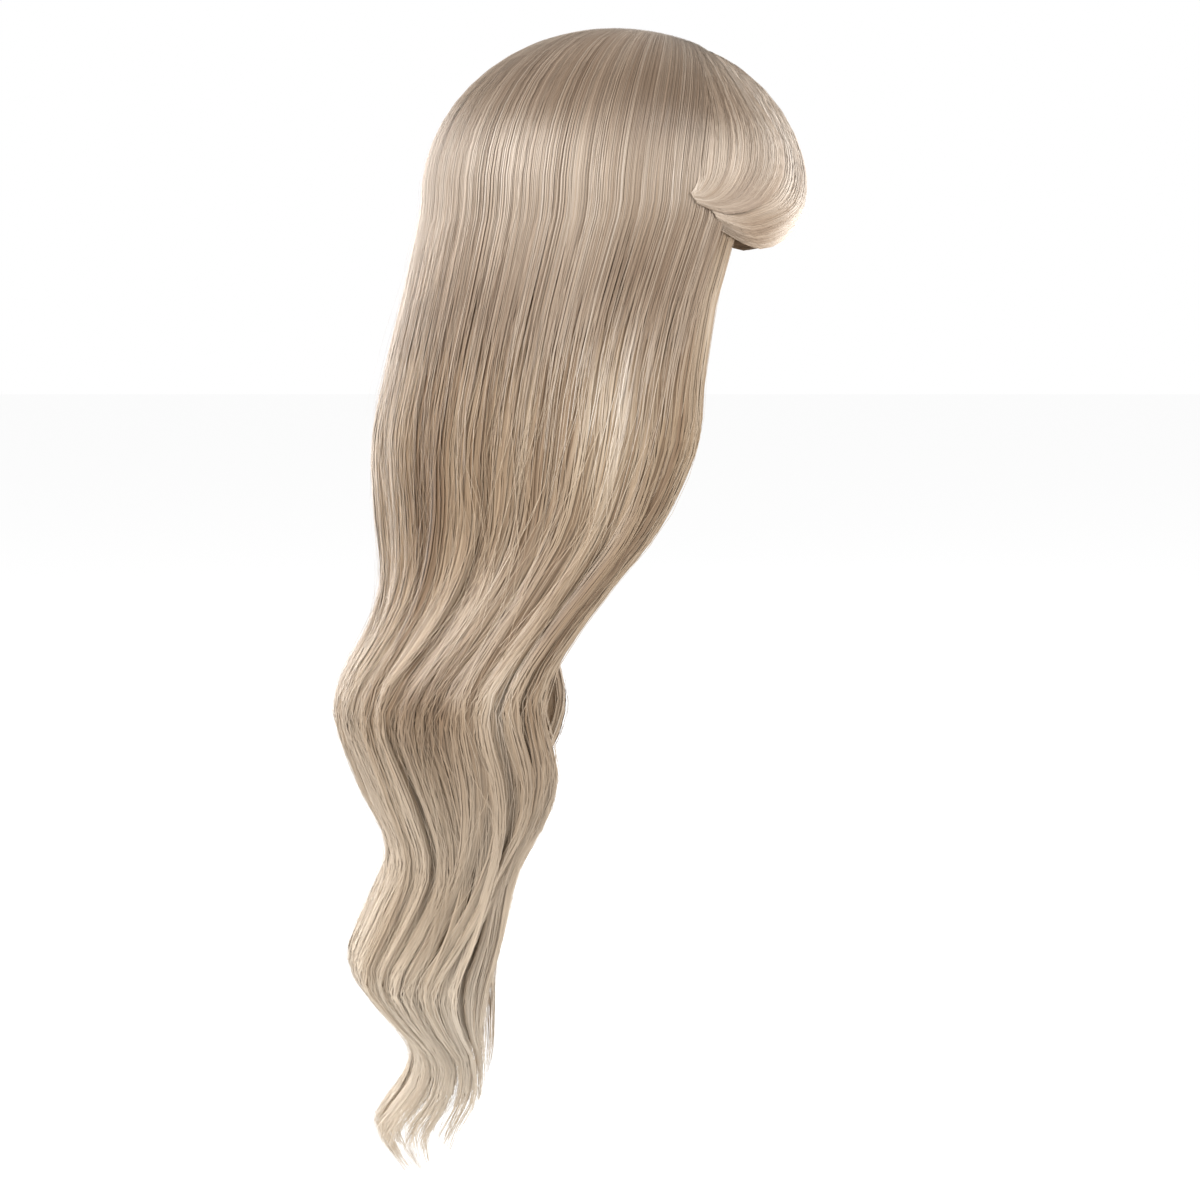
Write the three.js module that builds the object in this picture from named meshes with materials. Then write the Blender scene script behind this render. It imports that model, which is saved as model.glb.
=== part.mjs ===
// Long wavy wig with a centre parting and a rolled fringe, in millimetres, +Z up.
// The face looks along -Y, the wearer's right side is -X.
// The origin is the top of the cap's inside, where the crown of a head comes to rest.
import * as THREE from "three";
import { mergeVertices } from "three/addons/utils/BufferGeometryUtils.js";

// Cap: half width, half depth and height of the inside, to its widest level
const capHalf = 76;
const capDeep = 97;
const capRise = 90;
const capWall = 1.6;
const capTuck = 0.14;
const capColumns = 30;
const capRows = 5;

// The cap is sewn from a top and four panels; the top's length runs along the cloth
const capTopLength = 78;
const capSeam = 0.3;
const capPanels = {
  back: { from: -51.6, to: 51.6, columns: 9 },
  side: { from: 51.9, to: 111.6, columns: 5 },
  front: { from: 111.9, to: 248.1, columns: 12 },
};

// Height of the cap's edge round the head, from the middle of the nape to the forehead
const capEdge = [
  { angle: 0, z: -150 },
  { angle: 25, z: -146 },
  { angle: 50, z: -122 },
  { angle: 75, z: -114 },
  { angle: 95, z: -112 },
  { angle: 110, z: -107 },
  { angle: 125, z: -84 },
  { angle: 150, z: -65 },
  { angle: 180, z: -61 },
];

// Outside of the hair on the head, a dome over the cap's widest level
const domeHalf = 94;
const domeDeep = 116;
const domeRise = 101.5;
const domeThick = 15.2;
const domeThickTop = 8.8;
const domeBase = -capRise;

// The parting runs along the top, from the crown to the fringe
const partBack = 33;
const partFront = -75;
const partGap = 0.4;

// Hair below the head: each level is a part of an ellipse, open towards the face.
// middle, half and deep place the ellipse; spread is the angle of the front edge from the nape;
// thick is the depth of the hair and sway shifts the strands along the level, in degrees.
const frontAngle = 130;
const levels = [
  { z: -90, middle: 0, half: 94, deep: 116, spread: 130, thick: 15.2, sway: 0 },
  { z: -115, middle: 2, half: 94, deep: 119, spread: 126, thick: 16, sway: 1.5 },
  { z: -150, middle: 0, half: 95, deep: 129, spread: 116, thick: 18, sway: 3.5 },
  { z: -190, middle: -8, half: 97, deep: 148, spread: 106, thick: 20, sway: 5 },
  { z: -231, middle: -20, half: 101, deep: 169, spread: 98, thick: 22, sway: 6 },
  { z: -274, middle: -10, half: 103, deep: 157, spread: 95, thick: 22, sway: 8 },
  { z: -314, middle: 20, half: 104, deep: 124, spread: 95, thick: 22, sway: 8 },
  { z: -345, middle: 41, half: 110, deep: 111, spread: 95, thick: 23, sway: 5 },
  { z: -370, middle: 50, half: 115, deep: 116, spread: 94, thick: 25, sway: 2 },
  { z: -391, middle: 48, half: 118, deep: 125, spread: 95, thick: 26, sway: 1 },
  { z: -412, middle: 44, half: 117, deep: 125, spread: 95, thick: 25, sway: 2 },
  { z: -443, middle: 52, half: 110, deep: 105, spread: 96, thick: 24, sway: 5 },
  { z: -480, middle: 68, half: 96, deep: 73, spread: 98, thick: 22, sway: 8 },
  { z: -518, middle: 80, half: 90, deep: 74, spread: 102, thick: 20, sway: 6 },
  { z: -554, middle: 92, half: 82, deep: 74, spread: 106, thick: 18, sway: 2 },
  { z: -583, middle: 96, half: 64, deep: 52, spread: 112, thick: 17, sway: 4 },
  { z: -609, middle: 94, half: 47, deep: 34, spread: 122, thick: 15, sway: 6 },
  { z: -635, middle: 101, half: 40, deep: 34, spread: 136, thick: 14, sway: 2 },
  { z: -662, middle: 117, half: 33, deep: 36, spread: 146, thick: 13, sway: -3 },
  { z: -694, middle: 114, half: 17, deep: 20, spread: 150, thick: 10, sway: 0 },
];

// Long locks of one side, from the middle of the back towards the face.
// from and to are angles at the head, tip is the height of the end, lift moves the lock outwards.
const locks = [
  { name: "long_lock_1", from: 0.6, to: 20, tip: -692, lift: 0 },
  { name: "long_lock_2", from: 20.7, to: 42, tip: -686, lift: 0.07 },
  { name: "long_lock_3", from: 42.7, to: 64.5, tip: -679, lift: -0.04 },
  { name: "long_lock_4", from: 65.2, to: 88, tip: -668, lift: 0.06 },
  { name: "long_lock_5", from: 88.7, to: 112.2, tip: -650, lift: -0.04 },
];
const faceLock = { name: "face_lock", from: 112.9, to: 129.6, tip: -612, lift: 0 };
const lockTop = -104.6;
const lockStep = 26;
const waveTop = -288;
const waveStep = 19;
const lockTaper = 120;
const lockEnd = 0.3;

// The face lock starts under the fringe and fills out below it
const faceTop = -90;
const faceCover = -122;
const faceFull = -165;
const faceCovered = 0.56;

// Half depth of a lock across its width, as a share of the hair's depth
const lockSection = [
  { across: -1, depth: 0.1 },
  { across: -0.6, depth: 0.4 },
  { across: 0, depth: 0.5 },
  { across: 0.6, depth: 0.4 },
  { across: 1, depth: 0.1 },
];

// Hair on the crown: lock edges in degrees, groove between them as a share of the depth
const crownEdges = [0.6, 20.3, 42.3, 64.8, 88.3, 112.3];
const crownSteps = 4;
const crownGroove = 0.32;
const crownRows = [0, 0.13, 0.27, 0.42, 0.57, 0.72, 0.86, 1, 1.14];

// Fringe: rear and front edge of each section by angle, and how far each edge has run down.
// A run of 0 is at the parting, 1 at the cap's widest level, each 0.1 past that 10 mm lower.
// outer and inner are depths in the hair, from 0 at its outside to 1 at the cap;
// tuck is how much deeper the rear edge lies.
const fringes = [
  {
    name: "fringe_sweep",
    rows: [
      { rear: 113, front: 149, rearRun: 0, frontRun: 0, outer: 0, inner: 0.9, tuck: 0 },
      { rear: 113, front: 149, rearRun: 0.25, frontRun: 0.25, outer: 0, inner: 0.8, tuck: 0 },
      { rear: 113, front: 149, rearRun: 0.5, frontRun: 0.5, outer: 0, inner: 0.6, tuck: 0 },
      { rear: 113, front: 149, rearRun: 0.7, frontRun: 0.7, outer: 0, inner: 0.5, tuck: 0 },
      { rear: 113, front: 148, rearRun: 0.82, frontRun: 0.86, outer: -0.02, inner: 0.48, tuck: 0 },
      { rear: 114.2, front: 144, rearRun: 0.9, frontRun: 0.98, outer: -0.04, inner: 0.47, tuck: 0 },
      { rear: 114.4, front: 135, rearRun: 0.95, frontRun: 1.06, outer: -0.05, inner: 0.46, tuck: 0 },
      { rear: 114.6, front: 125, rearRun: 0.98, frontRun: 1.06, outer: -0.02, inner: 0.4, tuck: 0 },
      { rear: 115, front: 117.5, rearRun: 1.02, frontRun: 1.04, outer: 0.05, inner: 0.25, tuck: 0 },
    ],
  },
  {
    name: "fringe_roll",
    rows: [
      { rear: 151.5, front: 179.4, rearRun: 0, frontRun: 0, outer: 0, inner: 0.9, tuck: 0 },
      { rear: 151.5, front: 179.4, rearRun: 0.25, frontRun: 0.25, outer: 0, inner: 0.85, tuck: 0 },
      { rear: 151.5, front: 179.4, rearRun: 0.5, frontRun: 0.5, outer: 0, inner: 0.8, tuck: 0 },
      { rear: 151.5, front: 179.3, rearRun: 0.7, frontRun: 0.75, outer: 0, inner: 0.8, tuck: 0 },
      { rear: 150.5, front: 179, rearRun: 0.86, frontRun: 0.92, outer: 0, inner: 0.8, tuck: 0.1 },
      { rear: 147, front: 175, rearRun: 0.96, frontRun: 1.05, outer: 0, inner: 0.72, tuck: 0.35 },
      { rear: 140, front: 166, rearRun: 1.03, frontRun: 1.15, outer: 0, inner: 0.62, tuck: 0.45 },
      { rear: 132, front: 155, rearRun: 1.07, frontRun: 1.23, outer: 0, inner: 0.5, tuck: 0.45 },
      { rear: 125, front: 144, rearRun: 1.13, frontRun: 1.27, outer: -0.08, inner: 0.38, tuck: 0 },
      { rear: 120, front: 134, rearRun: 1.12, frontRun: 1.24, outer: -0.14, inner: 0.26, tuck: 0 },
      { rear: 118, front: 122.5, rearRun: 1.11, frontRun: 1.16, outer: -0.1, inner: 0.12, tuck: 0 },
    ],
  },
];
const fringeColumns = 6;
const fringeEdge = 0.45;

// Colours of the hair and the cap
const hairTop = new THREE.MeshStandardMaterial({ color: "#bca894", roughness: 0.45, metalness: 0 });
const hairLong = new THREE.MeshStandardMaterial({ color: "#c4b095", roughness: 0.45, metalness: 0 });
const capNet = new THREE.MeshStandardMaterial({ color: "#b29c85", roughness: 0.85, metalness: 0 });

function mix(a, b, t) {
  return a + (b - a) * t;
}

function radians(degrees) {
  return (degrees * Math.PI) / 180;
}

// Smooth curve through the rows of a table, read at a place along its first column
function along(rows, column, key, place) {
  const last = rows.length - 1;
  const rising = rows[last][column] > rows[0][column] ? 1 : -1;
  let i = 0;
  while (i < last - 1 && (place - rows[i + 1][column]) * rising > 0) i += 1;
  const slope = (k) => {
    const before = rows[Math.max(k - 1, 0)];
    const after = rows[Math.min(k + 1, last)];
    return (after[key] - before[key]) / (after[column] - before[column]);
  };
  const span = rows[i + 1][column] - rows[i][column];
  const t = Math.min(Math.max((place - rows[i][column]) / span, 0), 1);
  const rise = slope(i) * span;
  const fall = slope(i + 1) * span;
  const gap = rows[i + 1][key] - rows[i][key];
  return rows[i][key] + t * (rise + t * (3 * gap - 2 * rise - fall + t * (rise + fall - 2 * gap)));
}

function levelAt(z) {
  const level = {};
  for (const key of ["middle", "half", "deep", "spread", "thick", "sway"]) {
    level[key] = along(levels, "z", key, z);
  }
  return level;
}

// A place in the hair of the right side: the angle it has at the head, its run down from
// the parting and its depth from 0 at the outside to 1 at the cap
function inHair(angle, run, depth) {
  if (run <= 1) {
    const out = Math.sin((run * Math.PI) / 2);
    const partAt = mix(partBack, partFront, angle / 180) / domeDeep;
    const across = mix(partGap / domeHalf, Math.sin(radians(angle)), out);
    const back = mix(partAt, Math.cos(radians(angle)), out);
    const up = Math.sqrt(Math.max(1 - across * across - back * back, 0));
    const half = domeHalf - domeThick * depth;
    const deep = domeDeep - domeThick * depth;
    const rise = domeRise - domeThickTop * depth;
    return new THREE.Vector3(-half * across, deep * back, domeBase + rise * up);
  }
  const z = domeBase - (run - 1) * 100;
  const level = levelAt(z);
  const sway = level.sway * Math.sin((Math.PI * angle) / frontAngle);
  const turn = radians((angle * level.spread) / frontAngle + sway);
  const half = level.half - level.thick * depth;
  const deep = level.deep - level.thick * depth;
  return new THREE.Vector3(-half * Math.sin(turn), level.middle + deep * Math.cos(turn), z);
}

function runAt(z) {
  return 1 + (domeBase - z) / 100;
}

// Closed solid through a row of sections; each goes out along one face and back along the other
function loft(sections) {
  const count = sections[0].length;
  const places = sections.flat().flatMap((p) => [p.x, p.y, p.z]);
  const faces = [];
  for (let i = 0; i + 1 < sections.length; i += 1) {
    for (let j = 0; j < count; j += 1) {
      const a = i * count + j;
      const b = i * count + ((j + 1) % count);
      faces.push(a, b, b + count, a, b + count, a + count);
    }
  }
  const end = (sections.length - 1) * count;
  for (let j = 0; j + 1 < count / 2; j += 1) {
    const k = count - 1 - j;
    faces.push(j, k, k - 1, j, k - 1, j + 1);
    faces.push(end + j, end + k - 1, end + k, end + j, end + j + 1, end + k - 1);
  }
  return solid(places, faces);
}

// Geometry with its faces turned outwards
function solid(places, faces) {
  const corner = (i) => new THREE.Vector3(places[3 * i], places[3 * i + 1], places[3 * i + 2]);
  let volume = 0;
  for (let i = 0; i < faces.length; i += 3) {
    const side = corner(faces[i + 1]).cross(corner(faces[i + 2]));
    volume += corner(faces[i]).dot(side);
  }
  const turned = volume < 0 ? faces.slice().reverse() : faces;
  const geometry = new THREE.BufferGeometry();
  geometry.setAttribute("position", new THREE.Float32BufferAttribute(places, 3));
  geometry.setIndex(turned);
  const joined = mergeVertices(geometry, 1e-4);
  joined.computeVertexNormals();
  return joined;
}

// Section of a lock at one height
function lockRing(lock, z, outer, inner) {
  const left = Math.min((z - lock.tip) / lockTaper, 1);
  const size = mix(lockEnd, 1, Math.sin((left * Math.PI) / 2));
  const middle = (lock.from + lock.to) / 2;
  const width = ((lock.to - lock.from) / 2) * size;
  const centre = (outer + inner) / 2 - lock.lift * size;
  const depth = (inner - outer) * size;
  const side = (facing) =>
    lockSection.map((s) => inHair(middle + width * s.across, runAt(z), centre + facing * depth * s.depth));
  return [...side(-1), ...side(1).reverse()];
}

// Heights of a lock's sections, closer together where it waves
function heights(tip) {
  const found = [];
  let z = lockTop;
  while (z > tip + waveStep / 3) {
    found.push(z);
    z -= z > waveTop ? lockStep : waveStep;
  }
  return [...found, tip];
}

function longLock(lock) {
  return loft(heights(lock.tip).map((z) => lockRing(lock, z, 0.02, 0.98)));
}

function besideFace(lock) {
  const outerAt = (z) => {
    const t = Math.min(Math.max((faceCover - z) / (faceCover - faceFull), 0), 1);
    return mix(faceCovered, 0.02, t * t * (3 - 2 * t));
  };
  const levelsDown = [faceTop, ...heights(lock.tip)];
  return loft(levelsDown.map((z) => lockRing(lock, z, outerAt(z), 0.98)));
}

// Hair on the cap, in locks fused to one backing
function crown() {
  const angles = [];
  const grooves = [];
  for (let i = 0; i + 1 < crownEdges.length; i += 1) {
    for (let j = i === 0 ? 0 : 1; j <= crownSteps; j += 1) {
      const across = (2 * j) / crownSteps - 1;
      angles.push(mix(crownEdges[i], crownEdges[i + 1], j / crownSteps));
      grooves.push(crownGroove * (1 - Math.sqrt(Math.max(1 - across * across, 0))));
    }
  }
  const sections = crownRows.map((run) => {
    const swell = Math.min(run * 1.4, 1);
    const outside = angles.map((a, i) => inHair(a, run, grooves[i] * swell));
    const inside = angles.map((a) => inHair(a, run, 1));
    return [...outside, ...inside.reverse()];
  });
  return loft(sections);
}

// A fringe piece, thinner towards its rear and front edges
function fringe(rows) {
  const sections = rows.map((row) => {
    const side = (facing) => {
      const points = [];
      for (let i = 0; i < fringeColumns; i += 1) {
        const t = i / (fringeColumns - 1);
        const swell = mix(fringeEdge, 1, Math.sin(Math.PI * t));
        const centre = (row.outer + row.inner) / 2;
        const under = row.tuck * (1 - t) ** 2;
        const depth = centre + under + (facing * swell * (row.inner - row.outer)) / 2;
        points.push(inHair(mix(row.rear, row.front, t), mix(row.rearRun, row.frontRun, t), depth));
      }
      return points;
    };
    return [...side(-1), ...side(1).reverse()];
  });
  return loft(sections);
}

// A place on the cap: distance down from the top along the cloth, on the inside or the outside
function onCap(angle, distance, wall) {
  const quarter = (capRise * Math.PI) / 2;
  const tilt = Math.min(distance / capRise, Math.PI / 2);
  const below = Math.max(distance - quarter, 0);
  const girth = Math.sin(tilt) - capTuck * (below / 60) ** 2;
  const up = (capRise + wall) * Math.cos(tilt) - below;
  const x = (capHalf + wall) * girth * Math.sin(radians(angle));
  const y = (capDeep + wall) * girth * Math.cos(radians(angle));
  return new THREE.Vector3(-x, y, domeBase + up);
}

// Length of the cloth from the top to its edge
function capLength(angle) {
  const folded = angle > 180 ? 360 - angle : Math.abs(angle);
  const edge = along(capEdge, "angle", "z", folded);
  if (edge < domeBase) return (capRise * Math.PI) / 2 + domeBase - edge;
  return capRise * Math.acos((edge - domeBase) / capRise);
}

// Round top of the cap, closed at its middle
function capTop() {
  const places = [onCap(0, 0, 0), onCap(0, 0, capWall)];
  const faces = [];
  const at = (column, row, side) => 2 + ((column % capColumns) * capRows + row) * 2 + side;
  for (let i = 0; i < capColumns; i += 1) {
    const angle = (360 * i) / capColumns;
    for (let j = 1; j <= capRows; j += 1) {
      const distance = (capTopLength * j) / capRows;
      places.push(onCap(angle, distance, 0), onCap(angle, distance, capWall));
    }
  }
  for (let i = 0; i < capColumns; i += 1) {
    faces.push(0, at(i, 0, 0), at(i + 1, 0, 0), 1, at(i + 1, 0, 1), at(i, 0, 1));
    for (let j = 0; j + 1 < capRows; j += 1) {
      faces.push(at(i, j, 0), at(i, j + 1, 0), at(i + 1, j + 1, 0));
      faces.push(at(i, j, 0), at(i + 1, j + 1, 0), at(i + 1, j, 0));
      faces.push(at(i, j, 1), at(i + 1, j + 1, 1), at(i, j + 1, 1));
      faces.push(at(i, j, 1), at(i + 1, j, 1), at(i + 1, j + 1, 1));
    }
    const last = capRows - 1;
    faces.push(at(i, last, 0), at(i, last, 1), at(i + 1, last, 1));
    faces.push(at(i, last, 0), at(i + 1, last, 1), at(i + 1, last, 0));
  }
  return solid(places.flatMap((p) => [p.x, p.y, p.z]), faces);
}

// Panel of the cap from the top's seam down to the edge
function capPanel(panel) {
  const sections = [];
  for (let i = 0; i <= panel.columns; i += 1) {
    const angle = mix(panel.from, panel.to, i / panel.columns);
    const side = (wall) => {
      const points = [];
      for (let j = 0; j <= capRows; j += 1) {
        points.push(onCap(angle, mix(capTopLength + capSeam, capLength(angle), j / capRows), wall));
      }
      return points;
    };
    sections.push([...side(capWall), ...side(0).reverse()]);
  }
  return loft(sections);
}

// The same piece on the wearer's left
function mirrored(geometry) {
  const other = geometry.clone();
  other.scale(-1, 1, 1);
  other.setIndex(Array.from(other.index.array).reverse());
  other.computeVertexNormals();
  return other;
}

const group = new THREE.Group();
group.name = "long_wavy_wig";

function add(name, geometry, material) {
  const mesh = new THREE.Mesh(geometry, material);
  mesh.name = name;
  group.add(mesh);
}

function addPair(name, geometry, material) {
  const parts = name.split("_");
  const number = Number.isNaN(Number(parts.at(-1))) ? "" : `_${parts.pop()}`;
  add(`${parts.join("_")}_right${number}`, geometry, material);
  add(`${parts.join("_")}_left${number}`, mirrored(geometry), material);
}

add("cap_top", capTop(), capNet);
add("cap_front", capPanel(capPanels.front), capNet);
add("cap_back", capPanel(capPanels.back), capNet);
addPair("cap_side", capPanel(capPanels.side), capNet);
addPair("crown", crown(), hairTop);
for (const piece of fringes) addPair(piece.name, fringe(piece.rows), hairTop);
addPair(faceLock.name, besideFace(faceLock), hairLong);
for (const lock of locks) addPair(lock.name, longLock(lock), hairLong);

export default group;
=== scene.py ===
import math

import bpy
import numpy as np
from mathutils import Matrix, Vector


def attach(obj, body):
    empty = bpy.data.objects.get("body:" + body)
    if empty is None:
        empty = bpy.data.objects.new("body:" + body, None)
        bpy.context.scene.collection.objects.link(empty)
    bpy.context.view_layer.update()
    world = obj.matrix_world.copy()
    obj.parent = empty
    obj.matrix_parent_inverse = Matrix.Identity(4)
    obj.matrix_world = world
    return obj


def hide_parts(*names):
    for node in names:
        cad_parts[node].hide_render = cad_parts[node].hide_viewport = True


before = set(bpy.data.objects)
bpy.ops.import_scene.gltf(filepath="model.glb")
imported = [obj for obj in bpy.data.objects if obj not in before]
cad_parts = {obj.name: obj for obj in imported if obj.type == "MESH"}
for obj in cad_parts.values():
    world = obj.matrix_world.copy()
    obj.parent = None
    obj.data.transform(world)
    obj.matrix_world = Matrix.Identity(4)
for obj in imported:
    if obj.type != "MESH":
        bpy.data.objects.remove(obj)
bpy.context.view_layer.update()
bpy.ops.object.select_all(action="DESELECT")
scene = bpy.context.scene
scene.view_settings.view_transform = "Standard"
dice = np.random.default_rng(41)  # all the chance in the hair comes from here
mm = 0.001
fullTurn = 6.283

# how the hair lies, in mm: a dome over the cap, then levels down to the tips
hairForm = {
    "dome": {"half": 94, "deep": 116, "rise": 101.5, "base": -90, "thick": 15.2, "thickTop": 8.8},
    "parting": {"back": 33, "front": -75, "gap": 0.1, "dipRun": 0.05},
    "frontAngle": 130,
    "perRun": 100,  # mm of height for one run below the dome
    "lastRun": 7,  # run at the tips
    "columns": ("z", "middle", "half", "deep", "spread", "thick", "sway"),
    "levels": [
        (-90, 0, 94, 116, 130, 15.2, 0),
        (-115, 2, 94, 119, 126, 16, 1.5),
        (-150, 0, 95, 129, 116, 18, 3.5),
        (-190, -8, 97, 148, 106, 20, 5),
        (-231, -20, 101, 169, 98, 22, 6),
        (-274, -10, 103, 157, 95, 22, 8),
        (-314, 20, 104, 124, 95, 22, 8),
        (-345, 41, 110, 111, 95, 23, 5),
        (-370, 50, 115, 116, 94, 25, 2),
        (-391, 48, 118, 125, 95, 26, 1),
        (-412, 44, 117, 125, 95, 25, 2),
        (-443, 52, 110, 105, 96, 24, 5),
        (-480, 68, 96, 73, 98, 22, 8),
        (-518, 80, 90, 74, 102, 20, 6),
        (-554, 92, 82, 74, 106, 18, 2),
        (-583, 96, 64, 52, 112, 17, 4),
        (-609, 94, 47, 34, 122, 15, 6),
        (-635, 101, 40, 34, 136, 14, 2),
        (-662, 117, 33, 36, 146, 13, -3),
        (-694, 114, 17, 20, 150, 10, 0),
    ],
}


def curveThrough(xs, ys, at):
    # smooth curve through the rows of a table, xs rising
    xs, ys, at = np.asarray(xs, float), np.asarray(ys, float), np.clip(at, xs[0], xs[-1])
    ahead = np.minimum(np.arange(len(xs)) + 1, len(xs) - 1)
    behind = np.maximum(np.arange(len(xs)) - 1, 0)
    slope = (ys[ahead] - ys[behind]) / (xs[ahead] - xs[behind])
    slope[0] = 0  # sets off without a kink
    i = np.clip(np.searchsorted(xs, at) - 1, 0, len(xs) - 2)
    span = xs[i + 1] - xs[i]
    t = (at - xs[i]) / span
    rise, fall, gap = slope[i] * span, slope[i + 1] * span, ys[i + 1] - ys[i]
    return ys[i] + t * (rise + t * (3 * gap - 2 * rise - fall + t * (rise + fall - 2 * gap)))


def ease(value, low, high):
    # 0 up to low, 1 from high on, smooth between them
    t = np.clip((value - low) / (high - low), 0, 1)
    return t * t * (3 - 2 * t)


def inHair(angle, run, depth, side):
    # place in the hair: angle in degrees round the head, 0 at the back and 180 over the forehead,
    # run from 0 at the parting and 1 at ear height, each 0.1 after that 10 mm lower,
    # depth from 0 outside to 1 at the cap; side is -1 for the right
    dome, parting = hairForm["dome"], hairForm["parting"]
    angle, run, depth = np.broadcast_arrays(np.asarray(angle, float), run, depth)
    out = np.sin(np.clip(run, 0, 1) * math.pi / 2)
    turn = np.radians(angle)
    partAt = (parting["back"] + (parting["front"] - parting["back"]) * angle / 180) / dome["deep"]
    across = parting["gap"] / dome["half"] * (1 - out) + np.sin(turn) * out
    back = partAt * (1 - out) + np.cos(turn) * out
    up = np.sqrt(np.clip(1 - across**2 - back**2, 0, None))
    top = np.stack(
        [
            (dome["half"] - dome["thick"] * depth) * across,
            (dome["deep"] - dome["thick"] * depth) * back,
            dome["base"] + (dome["rise"] - dome["thickTop"] * depth) * up,
        ],
        -1,
    )
    z = dome["base"] - (run - 1) * hairForm["perRun"]
    rows = np.array(hairForm["levels"], float)
    level = {
        name: curveThrough(-rows[:, 0], rows[:, k], -z)
        for k, name in enumerate(hairForm["columns"])
    }
    swing = level["sway"] * np.sin(math.pi * angle / hairForm["frontAngle"])
    turn = np.radians(angle * level["spread"] / hairForm["frontAngle"] + swing)
    low = np.stack(
        [
            (level["half"] - level["thick"] * depth) * np.sin(turn),
            level["middle"] + (level["deep"] - level["thick"] * depth) * np.cos(turn),
            z,
        ],
        -1,
    )
    place = np.where((run <= 1)[..., None], top, low) * mm
    place[..., 0] *= side
    return place


def runAt(z):
    return 1 + (hairForm["dome"]["base"] - z) / hairForm["perRun"]


def alongAt(run):
    # share of the way from the parting to the tips
    return run / hairForm["lastRun"]


def partingDip(run, amount):
    # the hair sinks a little towards the parting
    return amount * np.exp(-run / hairForm["parting"]["dipRun"])


# painted shade and painted highlights in broad places, partly lighter and darker locks of the hair's own
# colour: shade along the top and under the fringe, light on the roll, sheen on the waves; angle, run, how
# wide, how tall, how much
paintedLightPatches = [
    (95, 0.62, 50, 0.17, -0.3),
    (106, 0.73, 12, 0.1, -0.28),
    (50, 0.75, 16, 0.2, 0.14),
    (165, 0.0, 30, 0.18, -0.4),
    (137, 0.42, 10, 0.2, 0.3),
    (151, 0.72, 13, 0.26, 0.4),
    (75, 1.0, 60, 0.25, 0.12),
    (108, 0.97, 9, 0.12, 0.18),
    (127, 1.0, 10, 0.1, -0.5),
    (139, 1.18, 11, 0.1, -0.55),
    (104, 1.42, 14, 0.3, -0.54),
    (60, 1.56, 32, 0.25, -0.22),
    (40, 1.6, 16, 0.3, -0.18),
    (50, 1.9, 25, 0.6, -0.1),
    (100, 2.1, 11, 0.45, 0.44),
    (98, 2.6, 14, 0.4, 0.12),
    (42, 2.7, 16, 0.5, -0.28),
    (66, 3.05, 10, 0.3, -0.12),
    (82, 3.25, 11, 0.3, 0.18),
    (114, 3.25, 12, 0.4, -0.22),
    (112, 3.8, 7, 0.25, 0.36),
    (114, 4.3, 20, 0.4, -0.2),
    (76, 3.95, 17, 0.4, -0.58),
    (78, 5.15, 35, 0.5, -0.38),
    (45, 5.35, 14, 0.3, -0.34),
]


# sum of the painted shade and painted highlights of the patches at a place
def paintedLightAt(angle, run):
    shade = 1.0
    for patchAngle, patchRun, wide, tall, amount in paintedLightPatches:
        away = ((angle - patchAngle) / wide) ** 2 + ((run - patchRun) / tall) ** 2
        shade = shade + amount * np.exp(-away)
    return shade


def spaced(count, low, high):
    # evenly spaced with a little chance in each step
    return low + (high - low) * (np.arange(count) + dice.random(count)) / count


def wandering(at, count, low, high):
    # a slow wave for each strand, its speed between low and high
    return np.sin(at * dice.uniform(low, high, (count, 1)) + dice.uniform(0, 6, (count, 1)))


def tones(angle):
    # shade of each strand: bands of neighbours that are alike, and its own
    bandShare = 0.35
    bands = 0.5 + 0.25 * np.sin(angle * 0.9 + 1.3) + 0.25 * np.sin(angle * 2.3)
    return np.clip(bandShare * bands + (1 - bandShare) * dice.random(len(angle)), 0, 1)


def unit(v):
    return v / np.maximum(np.linalg.norm(v, axis=-1, keepdims=True), 1e-9)


# one bundle of fibre: height of its middle over half its width, lean of its normals, its share of the map
bundleForm = {"rise": 0.14, "bow": 0.15, "mapAcross": (0.05, 0.95, 0.5), "mapAlong": (0.02, 0.98)}
inwardStep = 0.06  # depth between the two points that show which way is out


def outward(path, angle, run, depth, side):
    return unit(path - inHair(angle, run, depth + inwardStep, side))


def section(angles, run, outside, inside, side):
    # out along the outer face and back along the inner one
    return np.concatenate([inHair(angles, run, outside, side), inHair(angles, run, inside, side)[::-1]])


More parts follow.
